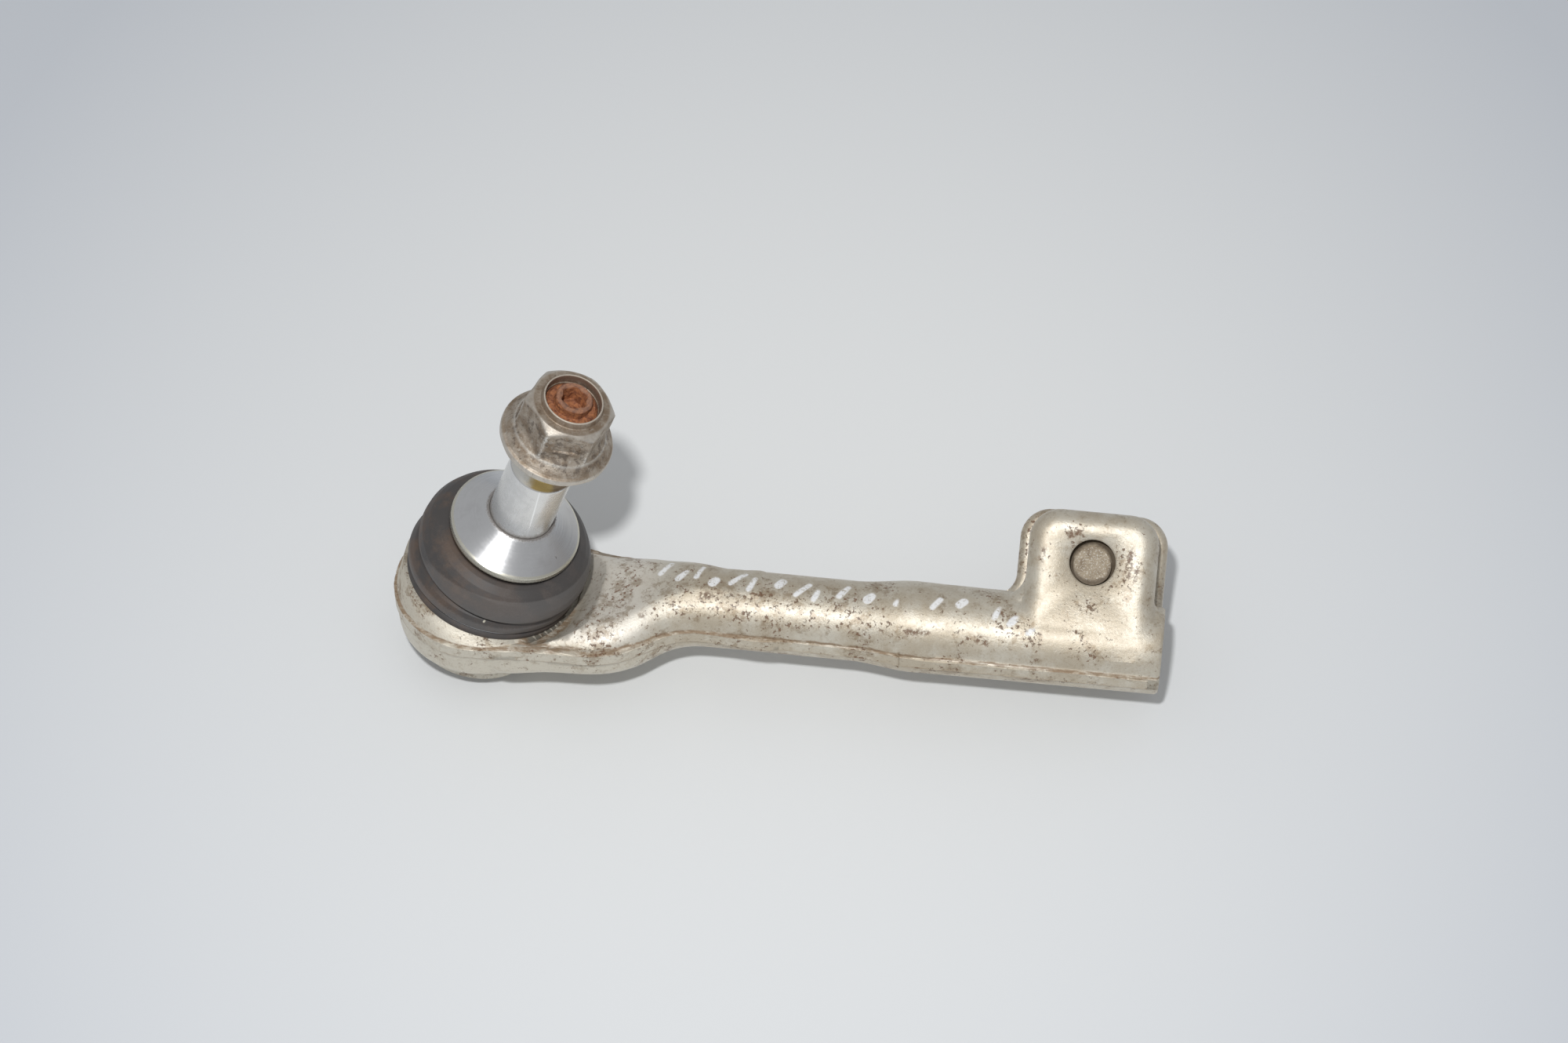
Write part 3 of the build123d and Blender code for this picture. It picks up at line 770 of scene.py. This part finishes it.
def stud_finish(values):
    """Ground seat with fine rings and scratches, painted reflection darkening its two sides, straw
    coloured undercut with painted shadow on its right, rusty tip.
    """
    f = Finish("stud_steel", metallic=1.0, roughness=0.3)
    p = f.local(STUD)
    x, _, h = f.parts(p)
    rings = f.noise(f.local(STUD, (0.15, 0.15, 1.8)), 1.0, 2, 0.5)
    streak = f.noise(f.local(STUD, (0.5, 0.5, 0.05)), 1.0, 2, 0.5)
    cloud = f.noise(p, 0.45, 4, 0.6)
    fine = f.noise(p, 2.2, 4, 0.62)

    worn = (cloud * 0.7 + streak * 0.5).step(0.48, 0.78)
    base = f.blend(worn * 0.30, values.steel, (0.60, 0.59, 0.57))
    # Painted reflection: the stud's left side is painted darker grey and its right side darker and
    # warmer, as the surroundings reflect in them.
    base = f.blend(x.step(-4.5, -8.3) * 0.35, base, (0.50, 0.50, 0.49))
    base = f.blend(x.step(5.0, 8.4) * 0.30, base, (0.56, 0.52, 0.46))

    scratch = f.dab(p, (1.55, -8.35, 46.0), (-0.10, 0.0, 1.0), 22.0, 0.17, 0.12)
    scratch = scratch.most(f.dab(p, (-2.6, -8.05, 44.0), (0.05, 0.0, 1.0), 9.0, 0.05, 0.08) * 0.6)
    base = f.blend(scratch, base, (0.98, 0.98, 0.97))

    straw = (h + fine * 0.3).step(55.9, 56.3) * h.step(67.0, 66.0)
    # Straw temper colour on the undercut; its dark brown right side is painted shadow under the nut's
    # flange.
    straw_and_shadow = f.blend((x + cloud * 3.0).step(-3.0, 0.5), (0.80, 0.79, 0.74), (0.52, 0.38, 0.15))
    straw_and_shadow = f.blend((x + cloud * 3.0).step(3.5, 6.0), straw_and_shadow, (0.24, 0.18, 0.12))
    base = f.blend(straw, base, straw_and_shadow)

    dirt = (h + f.noise(p, 0.9, 5, 0.7) * 6.0).step(40.2, 37.2)
    base = f.blend(dirt * 0.75, base, (0.17, 0.14, 0.11))
    tip = (h + fine * 1.2).step(78.5, 80.5)
    scale = f.noise(p, 0.9, 6, 0.68)
    rust = f.blend(scale.step(0.36, 0.66), values.rust, (0.16, 0.055, 0.028))
    rust = f.blend(f.noise(p, 1.7, 5, 0.7).step(0.52, 0.74) * 0.6, rust, (0.55, 0.25, 0.13))
    rim = (h + fine * 0.2).step(85.7, 86.0)
    rust = f.blend(rim * 0.45, rust, (0.25, 0.16, 0.12))
    base = f.blend(tip, base, rust)

    rough = 0.24 + worn * 0.08 - scratch * 0.08 + dirt * 0.25 + tip * 0.45
    height = rings * 0.10 - scratch * 1.2 + fine * dirt * 5.0 + scale * tip * 24.0
    metal = 1.0 - tip * 0.95 - dirt * 0.5
    normal = f.bump(height, 0.014, 0.8)
    return f.feed(base_color=base, roughness=rough, metallic=metal, normal=normal)


class TIEROD_OT_ball_stud(bpy.types.Operator):
    """Turns the ball stud with its thread, dog point and six-lobe socket"""

    bl_idname = "tierod.ball_stud"
    bl_label = "Ball stud"

    def execute(self, context):
        values = context.scene.tie_stud
        stud = skin("ball_stud_turned", stud_surface(values.pitch), stud_finish(values))
        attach(stud, "stud")
        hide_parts("ball_stud")
        return {"FINISHED"}


def collar_finish(values):
    """Turned aluminium: fine rings about the stud, dull patches, painted shade darkening its right
    side, scratched, worn yellow lip.
    """
    f = Finish("collar_aluminium", metallic=1.0, roughness=0.25)
    p = f.local(STUD)
    x, y, h = f.parts(p)
    far = f.span(x, y)
    rings = f.noise(f.vector(far * 7.0, 0.0, h * 7.0), 1.0, 5, 0.75)
    bands = f.noise(f.vector(far * 1.3, 0.0, h * 1.3), 1.0, 2, 0.5)
    cloud = f.noise(p, 0.32, 5, 0.62)
    fine = f.noise(p, 2.6, 4, 0.6)

    dull = (cloud * 0.8 + bands * 0.35).step(0.48, 0.82)
    base = f.blend(dull * 0.35, values.aluminium, (0.56, 0.56, 0.56))
    # Painted shade: the collar's right side is painted darker grey, where its reflections fall off.
    base = f.blend((x + cloud * 4.0).step(6.0, 16.0) * 0.6, base, (0.42, 0.40, 0.385))
    lip = far.step(16.55, 16.9)
    base = f.blend(lip * 0.6, base, (0.72, 0.68, 0.52))
    dirt = (far - fine * 1.6).step(8.9, 8.2)
    base = f.blend(dirt * 0.8, base, (0.11, 0.09, 0.075))
    specks = f.noise(p, 2.0, 3, 0.55).step(0.735, 0.77)
    nick = f.dab(p, (12.2, -8.6, 31.3), (0.7, -0.5, 0.1), 2.2, 0.16, 0.18)
    nick = nick.most(f.dab(p, (13.4, -9.0, 30.6), (0.2, -0.9, 0.1), 1.2, 0.12, 0.15))
    base = f.blend((specks * 0.7).most(nick), base, (0.20, 0.18, 0.16))

    rough = 0.17 + dull * 0.05 + fine * 0.04 + dirt * 0.3 + lip * 0.08
    normal = f.bump(rings * 0.6 + bands * 1.6 - nick * 4.0 - specks, 0.030, 0.9)
    return f.feed(base_color=base, roughness=rough, metallic=1.0 - dirt * 0.6, normal=normal)


class TIEROD_OT_collar(bpy.types.Operator):
    """Turns the conical collar with its thin upright lip"""

    bl_idname = "tierod.collar"
    bl_label = "Collar"

    def execute(self, context):
        line = rounded(
            [
                (8.52, 20.7, 0), (8.8, 20.6, 0.1), (11.8, 20.6, 0.3), (11.8, 26.4, 0.6),
                (16.3, 26.9, 0.3), (16.5, 27.25, 0.15), (17.15, 27.25, 0.15), (17.3, 27.45, 0.15),
                (17.3, 29.15, 0.35), (16.85, 29.5, 0.35), (8.95, 35.1, 0.18), (8.6, 35.1, 0.12),
                (8.52, 34.9, 0), (8.52, 20.7, 0),
            ],
            0.25,
        )[:-1]
        collar = skin(
            "stud_collar_turned",
            turned(line, STUD, 216),
            collar_finish(context.scene.tie_stud),
            wrap_rows=True,
        )
        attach(collar, "stud")
        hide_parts("stud_collar")
        return {"FINISHED"}


def nut_surface(turn):
    """Flange nut as a closed surface r(h, angle).

    Between the flange and the top, r is the smaller of the worn hexagon, which is half the width
    across flats over cos(a) with a the angle from the middle of its side, and the chamfer's cone
    10.05 + 1.05 (83.42 - h); below, the flange's cone carries on where it is the larger.
    """
    outside = rounded(
        [
            (7.03, 67.9, 0), (7.5, 67.5, 0.2), (FLANGE_R - 0.9, 67.5, 0.4),
            (FLANGE_R, 68.0, 0.7), (FLANGE_R, 69.7, 0.7), (FLANGE_R - 0.8, 70.1, 0.4),
            (13.4, 70.75, 0),
        ],
        0.3,
    )
    side = np.stack([np.full(62, 13.0), np.linspace(70.8, 83.38, 62)], 1)
    crown = rounded(
        [
            (10.05, 83.42, 0), (8.15, 83.5, 0.4), (7.85, 84.7, 0.3), (7.68, 85.25, 0.15),
            (7.38, 85.3, 0.12), (7.27, 84.9, 0.1), (7.27, 82.6, 0.1), (7.03, 82.5, 0.1),
            (7.03, 67.9, 0),
        ],
        0.3,
    )[:-1]
    line = np.vstack([outside, side, crown])
    r, h = line[:, :1], line[:, 1:]
    angle = around(240)
    angle = angle - 0.115 * np.sin(6 * angle)
    inside = np.mod(angle, TURN / 6) - TURN / 12
    hexagon = FLAT_HALF / np.cos(inside) - 0.12 * (1 + 0.6 * ripple(h * 0.5, angle * 6.0, 4))
    hexagon = soft_min(hexagon, 12.0 + 0.10 * ripple(h * 0.9, angle * 9.0, 8), 0.55)
    chamfer = 10.05 + (83.42 - h) * 1.05
    cone = 14.0 - (h - 70.15) * 0.87
    body = soft_max(soft_min(hexagon, chamfer, 0.45), cone, 0.5)
    wall = np.arange(len(line))[:, None]
    is_side = (wall >= len(outside)) & (wall < len(outside) + len(side))
    wide = np.where(is_side, body, r + 0 * angle)

    front = np.radians(279.5 - turn) - angle
    across = wide * np.sin(front)
    face = (np.cos(front) > 0) & is_side
    edge = np.maximum(np.abs(across) / 3.4, np.abs(h - 78.7) / 2.7)
    panel = (1 - smooth_step(edge, 0.84, 1.0)) * face
    rim = np.exp(-(((edge - 0.98) / 0.10) ** 2)) * face
    wide = wide - 0.45 * panel + 0.16 * rim
    wide = wide - 0.05 * ripple(h * 0.8, angle * 8.0, 21) * (r > 9.0)
    high = h - 0.05 * ripple(r * 0.6, angle * 5.0, 14) * (r > 13.4)
    return STUD.put(ring(wide, high, angle + np.radians(turn)))


def nut_finish(values):
    """Tarnished zinc: brown film, grey worn sides, bright worn corners, rust inside the ring."""
    f = Finish("nut_steel", metallic=0.8, roughness=0.45)
    p = f.local(STUD)
    x, y, h = f.parts(p)
    far = f.span(x, y)
    cloud = f.noise(p, 0.26, 5, 0.62)
    patch = f.noise(p, 0.7, 6, 0.66)
    fine = f.noise(p, 2.0, 5, 0.66)
    base = f.blend((cloud + fine * 0.35).step(0.52, 0.86), values.nut, (0.27, 0.205, 0.145))
    base = f.blend(patch.step(0.55, 0.72) * 0.5, base, (0.66, 0.64, 0.58))
    grime = f.noise(p, 0.42, 6, 0.7).step(0.50, 0.60) * h.step(83.2, 82.0) * h.step(70.3, 71.5)
    base = f.blend(grime * 0.72, base, (0.15, 0.12, 0.095))

    worn = (far + fine * 0.9).step(12.1, 12.5) * (h.step(71.8, 73.2)) * (h.step(83.0, 81.0))
    top_edge = ((far + h) - (10.05 + 83.42) + fine * 0.5).step(-0.25, 0.55) * h.step(80.6, 82.2)
    rim = (far + fine * 0.5).step(14.6, 14.95)
    worn = worn.most(top_edge * 0.55).most(rim * 0.5)
    base = f.blend(worn * 0.85, base, (0.88, 0.86, 0.80))
    rust = ((h - far * 0.6) + patch * 1.5).step(79.4, 80.6) * (far + patch * 0.3).step(7.62, 7.40)
    crown = ((h + patch * 0.8).step(83.6, 84.4)) * 0.35
    base = f.blend(crown, base, (0.26, 0.17, 0.11))
    base = f.blend(rust * 0.8, base, (0.16, 0.085, 0.055))
    lip = far.step(7.30, 7.36) * far.step(7.80, 7.70) * (h + fine * 0.2).step(85.0, 85.15)
    base = f.blend(lip * 0.75, base, (0.70, 0.64, 0.55))
    pits = f.noise(p, 1.3, 5, 0.66).step(0.63, 0.69)
    base = f.blend(pits * 0.7, base, (0.10, 0.065, 0.04))

    rough = 0.42 + cloud * 0.18 + fine * 0.12 - worn * 0.12 + rust * 0.2
    normal = f.bump(cloud * 0.3 + patch * 0.6 + fine * 0.3 - pits * 0.5, 0.22, 0.8)
    metal = 0.80 - rust * 0.7 - pits * 0.5
    return f.feed(base_color=base, roughness=rough, metallic=metal, normal=normal)


class TIEROD_OT_flange_nut(bpy.types.Operator):
    """Shapes the worn flange nut with its raised ring and the shallow panel on one side"""

    bl_idname = "tierod.flange_nut"
    bl_label = "Flange nut"

    def execute(self, context):
        values = context.scene.tie_stud
        grid = nut_surface(values.nut_turn)
        nut = skin("flange_nut_worn", grid, nut_finish(values), wrap_rows=True)
        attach(nut, "stud")
        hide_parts("flange_nut")
        return {"FINISHED"}


def boot_finish(values):
    """Moulded rubber: grey bloom, brown film, painted shade in the folds, dusty ridges."""
    f = Finish("boot_rubber", metallic=0.0, roughness=0.5, specular_ior_level=0.5)
    p = f.local(HOUSING)
    x, y, h = f.parts(p)
    broad = f.noise(p, 0.07, 3, 0.5)
    cloud = f.noise(p, 0.20, 5, 0.62)
    fine = f.noise(p, 2.6, 5, 0.64)
    rings = f.noise(f.local(HOUSING, (0.3, 0.3, 3.0)), 1.0, 3, 0.6)
    far = f.span(x, y)
    brown = (broad * 0.6 + cloud * 0.6).step(0.52, 0.74)
    brown = brown * (x.step(6.0, -12.0) * 0.6 + 0.4)
    base = f.blend(brown * 0.85, values.rubber, values.dust)
    bloom = (cloud * 0.6 + fine * 0.5).step(0.50, 0.80)
    base = f.blend(bloom * 0.22, base, (0.17, 0.16, 0.155))
    # Painted shade: the bellows' inner folds between bead and lip are painted near black.
    fold = far.step(21.9, 20.9) * h.step(4.0, 5.0) * h.step(20.0, 18.0)
    base = f.blend(fold * 0.6, base, (0.035, 0.028, 0.024))
    rub = (far + fine * 0.35).step(23.1, 23.4)
    base = f.blend(rub * 0.22, base, (0.22, 0.21, 0.20))
    specks = f.noise(p, 3.4, 3, 0.6).step(0.73, 0.77)
    base = f.blend(specks * 0.35, base, (0.35, 0.32, 0.28))
    tick = f.dab(p, HOUSING.inside((-174.68, -20.88, 14.96)), (0.3, -0.1, 1.0), 1.7, 0.26, 0.14)
    base = f.blend(tick * 0.85, base, (0.66, 0.62, 0.50))
    rough = 0.40 + cloud * 0.20 + fine * 0.10 + fold * 0.1
    normal = f.bump(fine * 0.5 + cloud * 0.4 + rings * 0.4, 0.07, 0.7)
    return f.feed(base_color=base, roughness=rough, normal=normal)


# Sections of the boot's halves, from bead to fold and from fold to lip: r, h, corner radius
LOWER_OUTSIDE = (
    (20.4, 5.02, 0), (22.2, 5.05, 0.3), (22.75, 5.6, 0.4), (22.75, 6.5, 0.5),
    (22.2, 7.15, 0.4), (21.4, 7.3, 0.15), (21.35, 7.75, 0.15), (22.3, 7.85, 0.3),
    (23.15, 8.7, 0.6), (23.3, 10.3, 1.2), (22.4, 12.6, 1.2), (21.0, 13.9, 0.7), (20.6, 14.5, 0),
)
LOWER_INSIDE = (
    (20.6, 14.5, 0), (19.0, 14.6, 0), (19.0, 13.9, 0.4), (20.8, 11.8, 0.6), (21.0, 10.3, 0.6),
    (19.5, 8.9, 0.4), (19.5, 5.02, 0), (20.4, 5.02, 0),
)
UPPER_OUTSIDE = (
    (20.6, 14.5, 0), (20.9, 15.0, 0.3), (21.9, 15.5, 0.5), (22.9, 16.6, 0.7), (23.2, 18.0, 1.2),
    (22.9, 20.5, 1.6), (21.7, 22.9, 1.6), (20.3, 24.5, 1.2), (18.4, 25.8, 0.8),
    (17.0, 26.2, 0.5), (16.1, 25.6, 0.4), (15.2, 21.9, 0.3), (12.4, 21.9, 0),
)
UPPER_INSIDE = (
    (12.4, 21.9, 0), (12.4, 20.5, 0), (16.2, 20.4, 0.4), (17.6, 24.0, 0.3), (19.2, 23.0, 0.8),
    (21.0, 19.4, 0.8), (21.0, 17.4, 0.8), (19.0, 15.2, 0.4), (19.0, 14.6, 0), (20.6, 14.5, 0),
)


def boot_half(outer, inner):
    """One half of the bellows as a closed skin.

    A point is (1 - w) times its place in the housing's axes plus w times its place in the stud's
    axes, where w is an S curve of height: the folds lean over from the one to the other.
    """
    line = np.vstack([rounded(outer, 0.35), rounded(inner, 0.8)])
    line = line[np.r_[True, np.linalg.norm(np.diff(line, axis=0), axis=1) > 1e-6]]
    line = line[:-1] if np.allclose(line[0], line[-1]) else line
    angle = around(216)
    r, h = line[:, :1], line[:, 1:]
    wide = r + 0.07 * ripple(h * 0.25, angle * 3.0, 6, 8, 0.5, 1.5) * smooth_step(r, 20.0, 21.5)
    high = h + 0.10 * ripple(r * 0.2, angle * 2.0, 16, 8, 0.5, 1.5) * smooth_step(h, 6.5, 8.5)
    flat = ring(wide, high, angle)
    lean = smooth_step(h, 10.2, 17.2)[..., None]
    return (1 - lean) * HOUSING.put(flat) + lean * STUD.put(flat)


class TIEROD_OT_dust_boot(bpy.types.Operator):
    """Moulds the boot in two halves that meet in its deep fold, and finishes its two rings"""

    bl_idname = "tierod.dust_boot"
    bl_label = "Dust boot"

    def execute(self, context):
        finish = boot_finish(context.scene.tie_boot)
        lower, upper = boot_half(LOWER_OUTSIDE, LOWER_INSIDE), boot_half(UPPER_OUTSIDE, UPPER_INSIDE)
        low = skin("boot_lower_fold", lower, finish, wrap_rows=True, sharp=60)
        high = skin("boot_upper_fold", upper, finish, wrap_rows=True, sharp=60)
        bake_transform(low)
        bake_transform(high)
        for piece in (low, high):
            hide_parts("dust_boot")
        wire = plain_finish("ring_steel", (0.35, 0.35, 0.36), 0.4, 1.0)
        dress("boot_ring_lower", wire)
        dress("boot_ring_upper", wire)
        return {"FINISHED"}


def plain_finish(name, tint, rough, metal):
    """One colour with a fine mottled wear in its colour, gloss and relief."""
    f = Finish(name, metallic=metal, roughness=rough)
    p = f.local(FORGING)
    cloud = f.noise(p, 0.3, 5, 0.6)
    fine = f.noise(p, 2.4, 4, 0.6)
    base = f.blend((cloud * 0.7 + fine * 0.4).step(0.45, 0.8), tint, shade(tint, 0.55))
    normal = f.bump(fine * 0.6 + cloud * 0.4, 0.06, 0.6)
    return f.feed(base_color=base, roughness=rough - 0.1 + cloud * 0.2, normal=normal)


def bolt_finish():
    """Dirty pinch bolt: worn pale end, brown dirt round it and in the thread."""
    f = Finish("bolt_steel", metallic=0.4, roughness=0.6)
    p = f.local(BOLT)
    x, y, n = f.parts(p)
    far = f.span(x, y)
    cloud = f.noise(p, 0.5, 5, 0.64)
    fine = f.noise(p, 2.2, 5, 0.66)
    base = f.blend((cloud * 0.7 + fine * 0.4).step(0.45, 0.72), (0.36, 0.30, 0.22), (0.22, 0.165, 0.11))
    edge = (far + cloud * 1.6).step(5.0, 6.0) * n.step(3.0, 5.0)
    base = f.blend(edge * 0.7, base, (0.10, 0.075, 0.05))
    worn = fine.step(0.50, 0.62) * n.step(7.0, 7.8) * far.step(5.2, 4.2)
    base = f.blend(worn * 0.7, base, (0.66, 0.63, 0.56))
    rough = 0.50 + cloud * 0.2 + fine * 0.1
    normal = f.bump(cloud * 0.6 + fine * 0.5, 0.22, 0.9)
    return f.feed(base_color=base, roughness=rough, metallic=0.45 - edge * 0.3, normal=normal)


class TIEROD_OT_small_pieces(bpy.types.Operator):
    """Finishes the pinch bolt, the cup and the cover"""

    bl_idname = "tierod.small_pieces"
    bl_label = "Bolt, cup and cover"

    def execute(self, context):
        dress("clamp_bolt", bolt_finish())
        dress("bearing_shell", plain_finish("cup_plastic", (0.78, 0.76, 0.70), 0.5, 0.0))
        dress("cover_plate", plain_finish("cover_steel", (0.50, 0.46, 0.40), 0.45, 0.85))
        return {"FINISHED"}


# The camera: where it stands, and its right, up and back directions; all in metres
CAMERA_PLACE = (-0.025488, -0.571526, 0.863825)
CAMERA_ROWS = (
    (0.992802, 0.119650, -0.005365),
    (-0.094886, 0.813078, 0.574370),
    (0.073085, -0.569727, 0.818578),
)
TABLE_HALF = 4.0
LAMP_UP, LAMP_LEFT = 0.15, 0.07   # how far the key light stands from the camera
LAMP_AIM = (-0.09, 0.0, 0.0)      # middle of the part
TABLE_LIGHT_POOL = (-0.107, 0.058)    # centre of the painted pool of light on the table


def stand(thing, place, rows):
    """Puts a camera or lamp at place, with rows for its own x, y and z axes."""
    turn = Matrix(rows.T.tolist()).to_4x4()
    turn.translation = place
    thing.matrix_world = turn
    bpy.context.scene.collection.objects.link(thing)


class TIEROD_OT_stage(bpy.types.Operator):
    """Lays the table, sets the lights, the room and the camera"""

    bl_idname = "tierod.stage"
    bl_label = "Stage"

    def execute(self, context):
        values = context.scene.tie_stage
        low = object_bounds()[0][2] - 0.0002
        sides = (-TABLE_HALF, TABLE_HALF)
        grid = np.array([[(x, y, low) for y in sides] for x in sides])
        f = Finish("table_top", metallic=0.0, roughness=0.6)
        x, y, _ = f.parts(f.place)
        # Painted pool of light: the table is painted paler round its brightest spot and darker and
        # bluer towards its corners, standing in for the lamp's fall-off and the lens's vignetting.
        fall = (x - TABLE_LIGHT_POOL[0]) ** 2 * 4.17 + (y - TABLE_LIGHT_POOL[1]) ** 2 * 2.74
        centre = shade(values.floor, 1.067, 1.065, 1.05)
        corner = shade(values.floor, 0.667, 0.705, 0.782)
        base = f.blend((fall * 2.5).least(0.7), centre, corner)
        base = f.blend(f.noise(f.place, 3.0, 3, 0.5) * 0.2, base, shade(values.floor, 0.94))
        table = skin("table_top", grid, f.feed(base_color=base), wrap_columns=False)
        table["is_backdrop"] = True

        world = bpy.data.worlds.new("room")
        context.scene.world = world
        world.use_nodes = True
        back = world.node_tree.nodes["Background"]
        back.inputs["Color"].default_value = (0.97, 0.98, 1.0, 1)
        back.inputs["Strength"].default_value = values.room

        rows = np.array(CAMERA_ROWS)
        camera = bpy.data.objects.new("camera", bpy.data.cameras.new("camera"))
        camera.data.lens = 90.0
        camera.data.sensor_width = 36.0
        camera.data.clip_end = 20
        stand(camera, CAMERA_PLACE, rows)
        context.scene.camera = camera

        place = CAMERA_PLACE + rows[1] * LAMP_UP - rows[0] * LAMP_LEFT
        lamp = bpy.data.objects.new("key_light", bpy.data.lights.new("key_light", "AREA"))
        lamp.data.shape = "DISK"
        lamp.data.size = 0.05
        lamp.data.energy = values.lamp
        stand(lamp, place, axes_from(place - LAMP_AIM, rows[0]))

        context.scene.view_settings.view_transform = "Standard"
        return {"FINISHED"}


OPERATORS = [
    TIEROD_OT_forging,
    TIEROD_OT_small_pieces,
    TIEROD_OT_ball_stud,
    TIEROD_OT_collar,
    TIEROD_OT_flange_nut,
    TIEROD_OT_dust_boot,
    TIEROD_OT_stage,
]


class TIEROD_PT_panel(bpy.types.Panel):
    """Lists the pieces of the tie rod end"""

    bl_idname = "TIEROD_PT_panel"
    bl_label = "Tie Rod End"
    bl_space_type = "VIEW_3D"
    bl_region_type = "UI"
    bl_category = "Tie Rod"

    def draw(self, context):
        for operator in OPERATORS:
            self.layout.operator(operator.bl_idname)
        for key, group in SETTINGS.items():
            values = getattr(context.scene, key)
            box = self.layout.box()
            for name in group.__annotations__:
                box.prop(values, name)


def register():
    for key, group in SETTINGS.items():
        bpy.utils.register_class(group)
        setattr(bpy.types.Scene, key, bpy.props.PointerProperty(type=group))
    for kind in (*OPERATORS, TIEROD_PT_panel):
        bpy.utils.register_class(kind)


def unregister():
    for kind in reversed((*OPERATORS, TIEROD_PT_panel)):
        bpy.utils.unregister_class(kind)
    for key, group in SETTINGS.items():
        delattr(bpy.types.Scene, key)
        bpy.utils.unregister_class(group)


def main():
    register()
    for operator in OPERATORS:
        group, name = operator.bl_idname.split(".")
        getattr(getattr(bpy.ops, group), name)()


if __name__ == "__main__":
    main()
